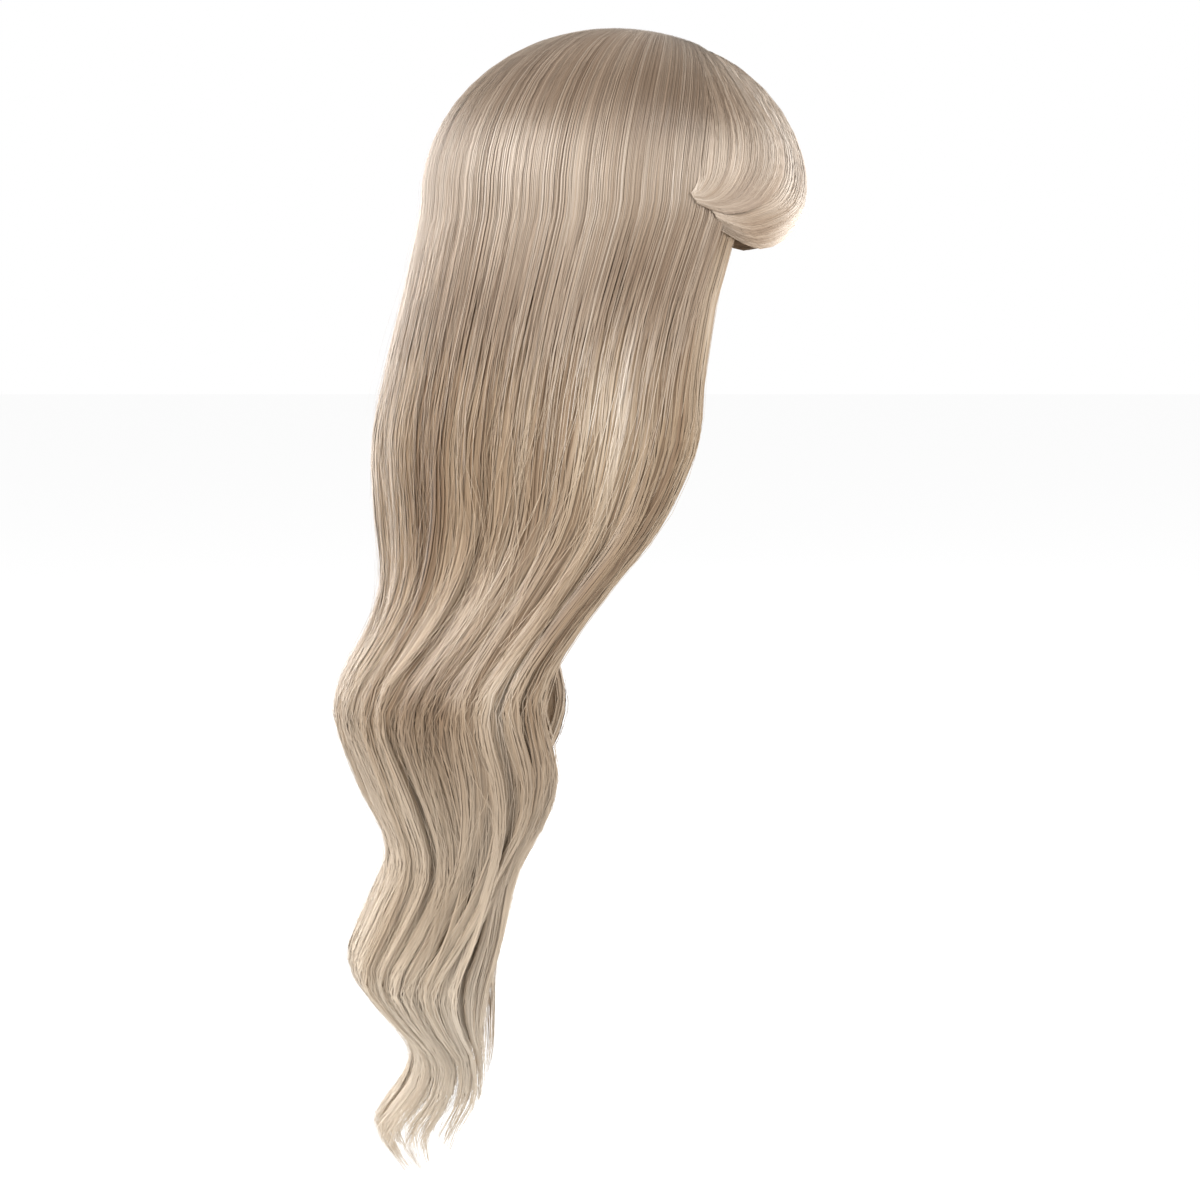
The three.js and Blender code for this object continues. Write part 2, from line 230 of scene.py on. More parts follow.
def strands(angle, run, depth, side, width, tone, along, tilt=0.0):
    # flat three-sided bundles of fibre along the paths, one row of the arrays each
    path = inHair(angle, run, depth, side)
    ahead = unit(np.gradient(path, axis=1))
    across = unit(np.cross(ahead, outward(path, angle, run, depth, side)))
    out = np.cross(across, ahead)
    tilt = np.broadcast_to(tilt, path.shape[:2])[..., None]
    across, out = across * np.cos(tilt) + out * np.sin(tilt), out * np.cos(tilt) - across * np.sin(tilt)
    half = (width * mm / 2)[..., None]
    wide, high = across * half, out * half * bundleForm["rise"]
    ring = np.stack([path - wide - high, path + wide - high, path + high], 2)
    count, points = path.shape[:2]
    index = np.arange(count * points * 3).reshape(count, points, 3)
    # soft normals over the top and underneath, plain ones at the ends
    lean = across * bundleForm["bow"]
    top = np.stack([unit(out - lean), unit(out + lean), out], 2)
    under = np.stack([unit(-out - lean), unit(-out + lean), -out], 2)
    quads, normals = [], []
    for j, k, facing in ((0, 1, under), (1, 2, top), (2, 0, top)):
        corners = ((slice(None, -1), j), (slice(1, None), j), (slice(1, None), k), (slice(None, -1), k))
        quads.append(np.stack([index[:, rows, c] for rows, c in corners], -1).reshape(-1, 4))
        normals.append(np.stack([facing[:, rows, c] for rows, c in corners], 2).reshape(-1, 3))
    ends = [np.repeat(-ahead[:, 0], 3, axis=0), np.repeat(ahead[:, -1], 3, axis=0)]
    column = np.array(bundleForm["mapAcross"]) + np.arange(count)[:, None, None]
    column = np.broadcast_to(column, (count, points, 3))
    stretch = np.linspace(*bundleForm["mapAlong"], points)[None, :, None]
    stretch = np.broadcast_to(stretch, column.shape)
    return {
        "verts": ring.reshape(-1, 3),
        "quads": np.concatenate(quads),
        "tris": np.concatenate([index[:, 0], index[:, -1][:, ::-1]]),
        "quadNormals": np.concatenate(normals),
        "endNormals": np.concatenate(ends),
        "tone": np.repeat(np.broadcast_to(tone, (count,)), points * 3),
        "along": np.repeat(np.broadcast_to(along, (count, points)).reshape(-1), 3),
        # painted shade and painted highlights of the patches along each strand
        "shade": np.repeat(np.broadcast_to(paintedLightAt(angle, run), (count, points)).reshape(-1), 3),
        "map": np.stack([column, stretch], -1).reshape(-1, 2),
        "columns": count,
    }


def hull(sections, tone, along, columns=24, guide=None, shade=1.0):
    # closed body through sections that go out along one face and back along the other;
    # guide holds calmer normals to lean towards, shade the painted shade and highlights of the patches
    sections = np.asarray(sections)
    rows, points = sections.shape[:2]
    index = np.arange(rows * points).reshape(rows, points)
    turned = np.roll(index, -1, axis=1)
    quads = np.stack([index[:-1], turned[:-1], turned[1:], index[1:]], -1).reshape(-1, 4)
    j = np.arange(points // 2 - 1)
    k = points - 1 - j
    ends = np.concatenate(
        [
            np.stack([index[0, j], index[0, k], index[0, k - 1], index[0, j + 1]], -1),
            np.stack([index[-1, j], index[-1, j + 1], index[-1, k - 1], index[-1, k]], -1),
        ]
    )
    quads = np.concatenate([quads, ends])
    flat = sections.reshape(-1, 3)
    a, b, c, d = (flat[quads[:, n]] for n in range(4))
    if np.sum(a * np.cross(b, c) + a * np.cross(c, d)) < 0:
        quads = quads[:, ::-1]
    facing = np.cross(flat[quads[:, 2]] - flat[quads[:, 0]], flat[quads[:, 3]] - flat[quads[:, 1]])
    soft = np.zeros_like(flat)
    for n in range(4):
        np.add.at(soft, quads[:, n], facing)
    soft = unit(soft)
    if guide is not None:
        guide = guide.reshape(-1, 3)
        soft = unit(soft + guide * np.sum(soft * guide, axis=1, keepdims=True))
    half = points // 2
    column = np.concatenate([np.linspace(0, 1, half), np.linspace(1, 0, points - half)])
    stretch = np.linspace(*bundleForm["mapAlong"], rows)[:, None]
    place = np.stack(np.broadcast_arrays(column[None, :] * columns, stretch), -1)
    return {
        "verts": flat,
        "quads": quads,
        "tris": np.zeros((0, 3), int),
        "quadNormals": soft[quads].reshape(-1, 3),
        "endNormals": np.zeros((0, 3)),
        "tone": np.full(len(flat), float(tone)),
        "along": np.repeat(np.broadcast_to(along, (rows,)), points),
        "shade": np.broadcast_to(shade, (rows, points)).reshape(-1),
        "map": place.reshape(-1, 2),
        "columns": columns,
    }


evenTones = {"by": 0.6, "from": 0.42, "to": 0.72}  # the wisps grow alike down the hair
total = {"faces": 0}


def pieceFrom(name, bundles, material, nodes):
    # joins the bundles into one mesh with its colour attributes and its map
    verts, quads, tris, maps, first, column = [], [], [], [], 0, 0
    for bundle in bundles:
        verts.append(bundle["verts"])
        quads.append(bundle["quads"] + first)
        tris.append(bundle["tris"] + first)
        maps.append(bundle["map"] + np.array([column, 0]))
        first += len(bundle["verts"])
        column += bundle["columns"]
    verts, quads, tris, maps = (np.concatenate(part) for part in (verts, quads, tris, maps))
    maps = maps / np.array([column, 1])
    mesh = bpy.data.meshes.new(name)
    # quads of all bundles first, then the end triangles
    corners = np.concatenate([quads.reshape(-1), tris.reshape(-1)]).astype(np.int32)
    quadStarts = np.arange(len(quads)) * 4
    triStarts = len(quads) * 4 + np.arange(len(tris)) * 3
    starts = np.concatenate([quadStarts, triStarts]).astype(np.int32)
    mesh.vertices.add(len(verts))
    mesh.vertices.foreach_set("co", verts.astype(np.float32).reshape(-1))
    mesh.loops.add(len(corners))
    mesh.loops.foreach_set("vertex_index", corners)
    mesh.polygons.add(len(starts))
    mesh.polygons.foreach_set("loop_start", starts)
    mesh.polygons.foreach_set("use_smooth", np.ones(len(starts), bool))
    marks = {key: np.concatenate([b[key] for b in bundles]) for key in ("tone", "along", "shade")}
    evened = evenTones["by"] * ease(marks["along"], evenTones["from"], evenTones["to"])
    marks["tone"] = 0.5 + (marks["tone"] - 0.5) * (1 - evened)
    for key, values in marks.items():
        mesh.attributes.new(key, "FLOAT", "POINT").data.foreach_set("value", values.astype(np.float32))
    mesh.uv_layers.new(name="OFBake").data.foreach_set("uv", maps[corners].astype(np.float32).reshape(-1))
    mesh.update(calc_edges=True)
    mesh.validate()
    normals = [b["quadNormals"] for b in bundles] + [b["endNormals"] for b in bundles]
    mesh.normals_split_custom_set(np.concatenate(normals))
    mesh.materials.append(material)
    piece = bpy.data.objects.new(name, mesh)
    scene.collection.objects.link(piece)
    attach(piece, "root")
    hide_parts(*nodes)
    faces = len(quads) * 2 + len(tris)
    total["faces"] += faces
    print(name, faces, "triangles")


def link(tree, start, end):
    tree.links.new(start, end)


def mathNode(tree, operation, *values):
    # each socket gets a number or a link
    node = tree.nodes.new("ShaderNodeMath")
    node.operation = operation
    for socket, value in zip(node.inputs, values):
        if isinstance(value, bpy.types.NodeSocket):
            link(tree, value, socket)
        else:
            socket.default_value = value
    return node.outputs[0]


def rangeNode(tree, value, fromEnds=(0, 1), toEnds=(0, 1), kind="LINEAR"):
    node = tree.nodes.new("ShaderNodeMapRange")
    node.interpolation_type = kind
    for name, ends in (("From", fromEnds), ("To", toEnds)):
        node.inputs[name + " Min"].default_value = ends[0]
        node.inputs[name + " Max"].default_value = ends[1]
    link(tree, value, node.inputs["Value"])
    return node.outputs["Result"]


def mixNode(tree, factor, first, second):
    node = tree.nodes.new("ShaderNodeMix")
    node.data_type = "RGBA"
    link(tree, factor, node.inputs["Factor"])
    link(tree, first, node.inputs["A"])
    link(tree, second, node.inputs["B"])
    return node.outputs["Result"]


def bumpNode(tree, height, strength, distance):
    node = tree.nodes.new("ShaderNodeBump")
    node.inputs["Strength"].default_value = strength
    node.inputs["Distance"].default_value = distance
    link(tree, height, node.inputs["Height"])
    return node.outputs["Normal"]


# how shade and gloss change over the fibres
fibreLook = {
    "toMiddle": (0.06, 0.15),  # shares of the length where the colours blend
    "toTip": (0.42, 0.9),
    "deeper": (0.5, -0.5),  # power for the darkest and the palest strand
    "paintedLightRange": (0.5, 1.5),
    "paintedLightPower": (1.45, 0.55),
    "drift": {"apart": 90, "along": 14, "gain": 0.4, "base": 0.8},
    "rough": (0.38, 0.56),
    "grain": {"along": 4, "scale": 0.35, "gain": 1.2, "base": -0.6},
}


def fibreGroup():
    # colour and roughness of the fibres by their own tone, the painted shade and highlights of their place
    # and how far along the hair they are
    look, drift, grain = fibreLook, fibreLook["drift"], fibreLook["grain"]
    tree = bpy.data.node_groups.new("fibreShade", "ShaderNodeTree")
    for name in ("Root", "Middle", "Tip"):
        tree.interface.new_socket(name, in_out="INPUT", socket_type="NodeSocketColor")
    for name in ("Streak", "Grain"):
        tree.interface.new_socket(name, in_out="INPUT", socket_type="NodeSocketFloat")
    tree.interface.new_socket("Colour", in_out="OUTPUT", socket_type="NodeSocketColor")
    for name in ("Roughness", "Height"):
        tree.interface.new_socket(name, in_out="OUTPUT", socket_type="NodeSocketFloat")
    add = tree.nodes.new
    start, end = add("NodeGroupInput"), add("NodeGroupOutput")
    marks = {}
    for key in ("tone", "along", "shade"):
        mark = add("ShaderNodeAttribute")
        mark.attribute_name = key
        marks[key] = mark.outputs["Fac"]
    toMiddle = rangeNode(tree, marks["along"], look["toMiddle"], kind="SMOOTHSTEP")
    toTip = rangeNode(tree, marks["along"], look["toTip"], kind="SMOOTHSTEP")
    upper = mixNode(tree, toMiddle, start.outputs["Root"], start.outputs["Middle"])
    whole = mixNode(tree, toTip, upper, start.outputs["Tip"])
    # deep tones are more golden, light ones paler
    deeper = rangeNode(tree, marks["tone"], toEnds=look["deeper"])
    # the painted shade and painted highlights of the patches darken and pale the colour the same way
    paintedLightGamma = rangeNode(tree, marks["shade"], look["paintedLightRange"], look["paintedLightPower"])
    power = mathNode(tree, "MULTIPLY_ADD", deeper, start.outputs["Streak"], paintedLightGamma)
    toned = add("ShaderNodeGamma")
    link(tree, whole, toned.inputs["Color"])
    link(tree, power, toned.inputs["Gamma"])
    # slow drift of shade and gloss along each fibre
    place = add("ShaderNodeCombineXYZ")
    link(tree, mathNode(tree, "MULTIPLY", marks["tone"], drift["apart"]), place.inputs["X"])
    link(tree, mathNode(tree, "MULTIPLY", marks["along"], drift["along"]), place.inputs["Y"])
    slow = add("ShaderNodeTexNoise")
    slow.inputs["Scale"].default_value = 1.0
    slow.inputs["Detail"].default_value = 2
    link(tree, place.outputs["Vector"], slow.inputs["Vector"])
    drifted = mathNode(tree, "MULTIPLY_ADD", slow.outputs["Fac"], drift["gain"], drift["base"])
    rough = rangeNode(tree, slow.outputs["Fac"], toEnds=look["rough"])
    link(tree, rough, end.inputs["Roughness"])
    # fine fibres inside each bundle
    own = add("ShaderNodeUVMap")
    own.uv_map = "OFBake"
    fine, spread = add("ShaderNodeVectorMath"), add("ShaderNodeCombineXYZ")
    fine.operation = "MULTIPLY"
    spread.inputs["Y"].default_value = grain["along"]
    link(tree, start.outputs["Grain"], spread.inputs["X"])
    link(tree, own.outputs["UV"], fine.inputs[0])
    link(tree, spread.outputs["Vector"], fine.inputs[1])
    fibres = add("ShaderNodeTexNoise")
    fibres.inputs["Scale"].default_value = grain["scale"]
    fibres.inputs["Detail"].default_value = 3
    fibres.inputs["Lacunarity"].default_value = 3
    link(tree, fine.outputs["Vector"], fibres.inputs["Vector"])
    link(tree, fibres.outputs["Fac"], end.inputs["Height"])
    grained = mathNode(tree, "MULTIPLY_ADD", fibres.outputs["Fac"], grain["gain"], grain["base"])
    coloured = add("ShaderNodeVectorMath")
    coloured.operation = "SCALE"
    link(tree, toned.outputs["Color"], coloured.inputs[0])
    link(tree, mathNode(tree, "ADD", drifted, grained), coloured.inputs["Scale"])
    link(tree, coloured.outputs["Vector"], end.inputs["Colour"])
    return tree


fibreShade = fibreGroup()

# colours of the fibre, from the parting to the tips, with its fineness and how far the strands differ
hairColours = {
    # crown and sweep: darker roots, partly a rooted colour and partly painted shade along the top of the
    # head
    "crown": {
        "root": (0.245, 0.176, 0.122),
        "middle": (0.345, 0.256, 0.183),
        "tip": (0.32, 0.228, 0.146),
        "grain": 5000,
        "streak": 0.75,
    },
    "sweep": {
        "root": (0.245, 0.176, 0.122),
        "middle": (0.355, 0.264, 0.19),
        "tip": (0.33, 0.242, 0.171),
        "grain": 1800,
        "streak": 0.6,
    },
    # the roll is a paler copy of the fringe fibre, palest near the parting: painted light on the curl, which
    # also sets it off from the sweep at the crease
    "roll": {
        "root": (0.5, 0.395, 0.303),
        "middle": (0.43, 0.332, 0.248),
        "tip": (0.3, 0.22, 0.155),
        "grain": 1800,
        "streak": 0.45,
    },
    "long": {
        "root": (0.345, 0.256, 0.183),
        "middle": (0.252, 0.165, 0.094),
        "tip": (0.57, 0.475, 0.365),
        "grain": 1300,
        "streak": 0.75,
    },
}


def hairMaterial(name, colours):
    material = bpy.data.materials.new(name)
    material.use_nodes = True
    tree = material.node_tree
    shader = tree.nodes["Principled BSDF"]
    shader.inputs["Specular IOR Level"].default_value = 1.0
    shader.inputs["Specular Tint"].default_value = (1, 0.92, 0.82, 1)
    shader.inputs["IOR"].default_value = 1.6
    shader.inputs["Anisotropic"].default_value = 0.75
    shader.inputs["Sheen Weight"].default_value = 0.15
    shader.inputs["Sheen Roughness"].default_value = 0.4
    shader.inputs["Sheen Tint"].default_value = (1, 0.93, 0.85, 1)
    fibre = tree.nodes.new("ShaderNodeGroup")
    fibre.node_tree = fibreShade
    for key in ("root", "middle", "tip"):
        fibre.inputs[key.capitalize()].default_value = (*colours[key], 1)
    fibre.inputs["Streak"].default_value = colours["streak"]
    fibre.inputs["Grain"].default_value = colours["grain"]
    around = tree.nodes.new("ShaderNodeTangent")
    around.direction_type = "UV_MAP"
    around.uv_map = "OFBake"
    link(tree, around.outputs["Tangent"], shader.inputs["Tangent"])
    link(tree, fibre.outputs["Colour"], shader.inputs["Base Color"])
    link(tree, fibre.outputs["Roughness"], shader.inputs["Roughness"])
    link(tree, bumpNode(tree, fibre.outputs["Height"], 0.1, 0.0003), shader.inputs["Normal"])
    return material


hairLooks = {name: hairMaterial(name + "Fibre", colours) for name, colours in hairColours.items()}
sides = {"right": -1, "left": 1}
print("fibre coloured")

# straight hair from the parting over the head, flat bundles first and then loose fibres
crownHair = {
    "domeRows": np.linspace(0, 1.1, 13),
    "lowRows": 4,
    "angles": (0.3, 123),
    "lean": 15,
    "leanRuns": (0.05, 1.1),
    "underSweep": 0.12,  # how deep the front edge lies under the fringe
    "sweepAngles": (114, 117),
    "sweepRuns": (1.0, 1.15),
    "dip": 0.14,
    "endSink": 0.3,
    "rootWidth": 0.15,
    "thin": 0.85,
    "layers": [
        {"strands": 780, "width": (0.55, 1.2), "depth": (0.045, 0.08), "end": (1.5, 2.7),
         "tilt": 0.05, "stray": 0.25, "lift": 0.0},
        {"strands": 360, "width": (0.3, 0.5), "depth": (0.0, 0.045), "end": (1.4, 3.4),
         "tilt": 0.0, "stray": 0.25, "lift": 0.0},
        {"strands": 60, "width": (0.22, 0.32), "depth": (0.0, 0.02), "end": (1.3, 2.6),
         "tilt": 0.0, "stray": 2.0, "lift": 0.5},
    ],
    "backing": {"columns": 100, "angles": (0.8, 114), "lowRows": 6, "end": 1.5, "uneven": 0.2,
                "depth": 0.1, "dip": 0.1, "endSink": 0.1, "inner": 0.97, "thin": 0.05,
                "thinRuns": (1.0, 1.25)},
}


def crownPiece(name, side):
    hair, backing = crownHair, crownHair["backing"]
    top = hair["domeRows"][-1]
    bundles = []
    for layer in hair["layers"]:
        count = layer["strands"]
        angle = dice.permutation(spaced(count, *hair["angles"]))
        end = dice.uniform(*layer["end"], (count, 1))
        onDome = np.broadcast_to(hair["domeRows"], (count, len(hair["domeRows"])))
        below = top + (end - top) * np.linspace(0, 1, hair["lowRows"] + 1)[None, 1:]
        run = np.concatenate([onDome, below], axis=1)
        t = run / end
        depth = dice.uniform(*layer["depth"], count)[:, None] + partingDip(run, hair["dip"])
        depth = depth + hair["endSink"] * ease(t, 0.75, 1)
        risen = ease(run, dice.uniform(0.1, 0.9, (count, 1)), end + 0.1) * dice.random((count, 1)) ** 1.5
        depth = depth - layer["lift"] * risen
        covered = ease(angle, *hair["sweepAngles"])[:, None] * (1 - ease(run, *hair["sweepRuns"]))
        depth = depth + hair["underSweep"] * covered
        lean = hair["lean"] * (angle[:, None] / hair["angles"][1]) ** 3 * (1 - ease(run, *hair["leanRuns"]))
        stray = dice.normal(0, layer["stray"], (count, 1)) * wandering(run, count, 0.8, 2)
        path = angle[:, None] + lean + stray * ease(run, 0, 1)
        fanned = hair["rootWidth"] + (1 - hair["rootWidth"]) * np.sin(np.minimum(run, 1) * math.pi / 2)
        thinned = 1 - hair["thin"] * ease(t, 0.7, 1)
        width = dice.uniform(*layer["width"], count)[:, None] * fanned * thinned
        tilt = dice.normal(0, layer["tilt"], (count, 1)) if layer["tilt"] else 0.0
        bundles.append(strands(path, run, depth, side, width, tones(angle), alongAt(run), tilt=tilt))
    # backing under the fibres, thin where it runs out over the long locks
    angles = np.linspace(*backing["angles"], backing["columns"])
    ends = backing["end"] + backing["uneven"] * np.sin(angles * 1.9) * np.sin(angles * 0.7)
    lowSteps = np.linspace(0, 1, backing["lowRows"] + 1)[1:]
    rows = np.array([*hair["domeRows"], *(top + (backing["end"] - top) * lowSteps)])
    sections = []
    for level in rows:
        share = max(level - top, 0) / (backing["end"] - top)
        run = np.minimum(level, top) + (ends - top) * share
        outside = backing["depth"] + partingDip(run, backing["dip"])
        outside = outside + backing["endSink"] * ease(share, 0.5, 1)
        thinned = (backing["inner"] - backing["thin"] - outside) * ease(run, *backing["thinRuns"])
        sections.append(section(angles, run, outside, backing["inner"] - thinned, side))
    # the backing carries the painted shade and highlights of the patches as well
    shade = paintedLightAt(np.concatenate([angles, angles[::-1]])[None, :], rows[:, None])
    bundles.append(hull(sections, 0.5, alongAt(rows), columns=60, shade=shade))
    pieceFrom(name, bundles, hairLooks["crown"], [name])


for sideName, side in sides.items():
    crownPiece("crown_" + sideName, side)
print("crown hair laid")

# waved locks from under the crown hair to the tips
longHair = {
    "taper": 80,  # mm over which a lock narrows to its tip
    "narrow": 0.9,
    "sheet": 0.07,  # half thickness while the wisps still lie in one sheet
    "perDegree": 1.75,  # mm across for a degree
    "perDepth": 22,  # mm for the whole depth
    "endShort": 0.35,  # the wisps stop this much above their strands
    "thinRun": 0.9,
    "partRuns": (1.6, 3.6),  # where the sheet parts into wisps
    "swayRuns": (2.0, 4),
    "crossRuns": (4.4, 5.7),
    "flatRuns": (4.2, 5.6),  # where the locks lose their roundness
    "flatBy": 0.7,
    "covered": 0.4,  # how deep the locks start under the crown hair
    "coverRuns": (1.0, 1.75),
    "inner": 0.98,
    "wisp": {"uneven": 0.03, "over": 0.06, "short": 0.2, "length": (1.3, 2.0), "phase": (0, 6.28),
             "sway": (0.5, 2.6), "twist": 0.12, "cross": (0.8, 1.3), "fuller": 0.1, "bob": 0.05},
    "rows": {
        "outer": {"wisps": 5, "sheetAt": 0.16, "deep": (0.14, 0.22), "thick": (0.1, 0.15),
                  "wide": (0.85, 1.15), "round": 0.14, "hullRows": 42, "hullPoints": 12},
        "inner": {"wisps": 3, "sheetAt": 0.6, "deep": (0.68, 0.76), "thick": (0.16, 0.22),
                  "wide": (0.65, 0.85), "round": -0.14, "hullRows": 34, "hullPoints": 10},
    },
    "layers": [
        {"row": "outer", "strands": 76, "points": 32, "from": 1.0, "width": (0.7, 1.5),
         "off": (0.98, 1.05), "loose": 0.12, "short": 0.4, "pale": 0.0},
        {"row": "outer", "strands": 50, "points": 32, "from": 1.0, "width": (0.3, 0.6),
         "off": (1.02, 1.15), "loose": 0.3, "short": 0.5, "pale": 0.1},
        # stray fibres at the outline, paler as painted light on them
        {"row": "outer", "strands": 50, "points": 24, "from": 1.0, "width": (0.2, 0.3),
         "off": (1.1, 2.3), "loose": 0.9, "short": 0.9, "pale": 0.4},
        {"row": "outer", "strands": 80, "points": 14, "from": 4.6, "width": (0.3, 0.7),
         "off": (0.5, 1.3), "loose": 0.5, "short": 0.6, "pale": 0.3},
        {"row": "inner", "strands": 21, "points": 34, "from": 1.1, "width": (0.8, 1.8),
         "off": (1.03, 1.12), "loose": 0.2, "short": 0.6, "pale": 0.0},
    ],
    "core": {"from": 1.05, "short": 0.9, "rounded": 0.8, "thick": 0.14, "rows": 32, "columns": 10},
    # kind, number, edges in degrees, height of the tip, degrees that some wisps cross by
    "locks": [
        ("long_lock", 1, 0.6, 20, -692, 0),
        ("long_lock", 2, 20.7, 42, -688, 0),
        ("long_lock", 3, 42.7, 64.5, -683, 0),
        ("long_lock", 4, 65.2, 88, -677, 6),
        ("long_lock", 5, 88.7, 112.2, -668, 18),
        ("face_lock", None, 112.9, 129.6, -645, 28),
    ],
}
# the lock by the face comes out from under the fringe
faceCover = {"cover": -105, "full": -190, "outer": 0.3, "open": 0.02}


def outerDepth(run, byFace):
    cover = faceCover
    if not byFace:
        return np.zeros_like(run) + cover["open"]
    shown = ease(run, runAt(cover["cover"]), runAt(cover["full"]))
    return cover["outer"] + (cover["open"] - cover["outer"]) * shown


def lockWisps(low, high, tipRun, cross):
    # each lock falls apart into wisps with a wave, a twist and a shade of their own
    hair, chance = longHair, longHair["wisp"]
    wispRows = {}
    for rowName, row in hair["rows"].items():
        wisps = row["wisps"]
        nth = np.arange(wisps)
        spacing = (high - low) / wisps
        crossing = (nth % 3 == 1) * (rowName == "outer")
        over = chance["over"] * crossing * (cross > 0)
        fromMiddle = (nth + 0.5) / wisps * 2 - 1
        rounding = row["round"] * fromMiddle
        uneven = (-chance["uneven"], chance["uneven"])
        wispRows[rowName] = {
            "angle": low + spacing * (nth + 0.5),
            "half": spacing * dice.uniform(*row["wide"], wisps) * hair["perDegree"],
            "sheetAt": row["sheetAt"] + 0.02 * (nth % 2),
            "deep": np.where(nth % 2, *row["deep"]) + dice.uniform(*uneven, wisps) - over,
            "sunk": rounding * fromMiddle,
            "slant": -2 * rounding / ((high - low) / 2) * hair["perDepth"] / hair["perDegree"],
            "thick": dice.uniform(*row["thick"], wisps),
            "end": tipRun - np.abs(dice.normal(0, chance["short"], wisps)),
            "length": dice.uniform(*chance["length"], wisps),
            "phase": dice.uniform(*chance["phase"], wisps),
            "sway": dice.uniform(*chance["sway"], wisps),
            "twist": dice.normal(0, chance["twist"], wisps),
            "tone": dice.random(wisps),
            "cross": crossing * cross * dice.uniform(*chance["cross"], wisps),
        }
    return wispRows


def onWisp(lock, own, run, around, off, least):
    # place on one wisp: around goes from 0 at the front edge over the outside to pi at the rear edge
    hair, chance = longHair, longHair["wisp"]
    form = ease(run, *hair["partRuns"])
    left = np.clip((own["end"] - run) / hair["thinRun"], 0, 1)
    size = least + (1 - least) * np.sqrt(left)
    half = own["half"] * (1 + chance["fuller"] * form) * size * off
    thick = (hair["sheet"] + (own["thick"] - hair["sheet"]) * form) * size * hair["perDepth"] * off
    rounded = 1 - hair["flatBy"] * ease(run, *hair["flatRuns"])
    turn = (own["twist"] * (run - 2) + own["slant"] * rounded) * form
    x, y = half * np.cos(around), thick * np.sin(around)
    x, y = x * np.cos(turn) - y * np.sin(turn), x * np.sin(turn) + y * np.cos(turn)
    wave = fullTurn * run / own["length"] + own["phase"]
    angle = own["angle"] + x / hair["perDegree"] + own["sway"] * np.sin(wave) * ease(run, *hair["swayRuns"])
    toTip = np.clip((lock["tipRun"] - run) * hairForm["perRun"] / hair["taper"], 0, 1)
    narrow = hair["narrow"] + (1 - hair["narrow"]) * np.sin(toTip * math.pi / 2)
    angle = lock["middle"] + (angle - lock["middle"]) * narrow - own["cross"] * ease(run, *hair["crossRuns"])
    angle = np.maximum(angle, -6)  # not far past the middle of the back
    inWisp = own["deep"] + own["sunk"] * rounded + chance["bob"] * np.sin(wave + 1.6)
    level = own["sheetAt"] * (1 - form) + inWisp * form
    level = level + (0 if lock["byFace"] else hair["covered"]) * (1 - ease(run, *hair["coverRuns"]))
    outer = outerDepth(run, lock["byFace"])
    depth = outer + (hair["inner"] - outer) * np.minimum(level - y / hair["perDepth"], 1)
    lean = np.arctan2(np.cos(around) / half, np.sin(around) / thick) - turn
    return angle, depth, lean


